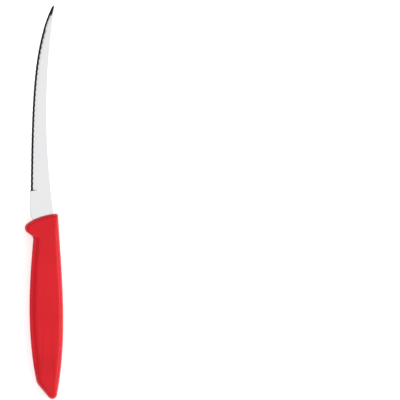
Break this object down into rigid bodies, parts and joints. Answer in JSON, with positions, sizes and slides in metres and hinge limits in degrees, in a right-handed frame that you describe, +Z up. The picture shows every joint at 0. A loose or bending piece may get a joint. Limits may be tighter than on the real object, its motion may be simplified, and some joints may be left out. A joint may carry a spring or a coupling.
{
  "type": "tomato knife",
  "caption": "Small kitchen knife with an upswept, finely toothed blade ground on one side, its tang moulded into a scooped plastic handle with a guard and a rounded butt",
  "frame": {"origin": "middle of the knife's outline as it lies on its side, on the surface it lies on", "axes": "+X runs along the knife from the tip to the butt, +Y from the cutting edge to the spine, +Z up out of the side that carries the grind"},
  "size_m": [0.2374, 0.0234, 0.0124],
  "materials": {
    "blade_steel": "fine ground and polished stainless steel",
    "handle_plastic": "moulded polypropylene with a soft satin sheen"
  },
  "bodies": {
    "root": {"blade": "blade_steel", "handle": "handle_plastic"}
  },
  "joints": []
}
